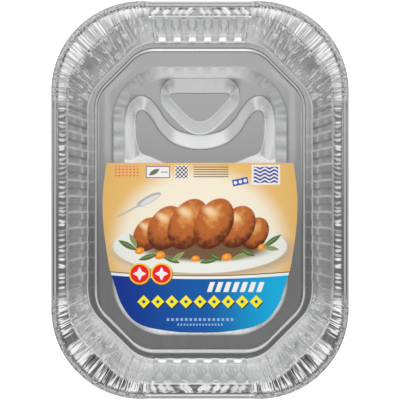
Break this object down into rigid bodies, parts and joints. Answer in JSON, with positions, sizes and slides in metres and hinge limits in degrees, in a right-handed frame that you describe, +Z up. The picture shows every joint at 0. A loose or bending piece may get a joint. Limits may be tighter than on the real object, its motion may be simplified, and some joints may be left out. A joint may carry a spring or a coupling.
{
  "type": "foil roasting pan",
  "caption": "Deep rounded foil roasting pan with a rolled rim, fluted walls, pleated corners and raised rack ridges, with its printed card insert.",
  "frame": {"origin": "middle of the pan's underside, on the surface that it stands on", "axes": "+Z up, +Y along the pan towards the bare end of the rack, +X across the pan"},
  "size_m": [0.3026, 0.405, 0.0666],
  "materials": {
    "foil": "bright rolled foil, faintly brushed",
    "printed_card": "glossy printed card"
  },
  "bodies": {
    "root": {"foil_pan": "foil", "label_card": "printed_card"}
  },
  "joints": []
}
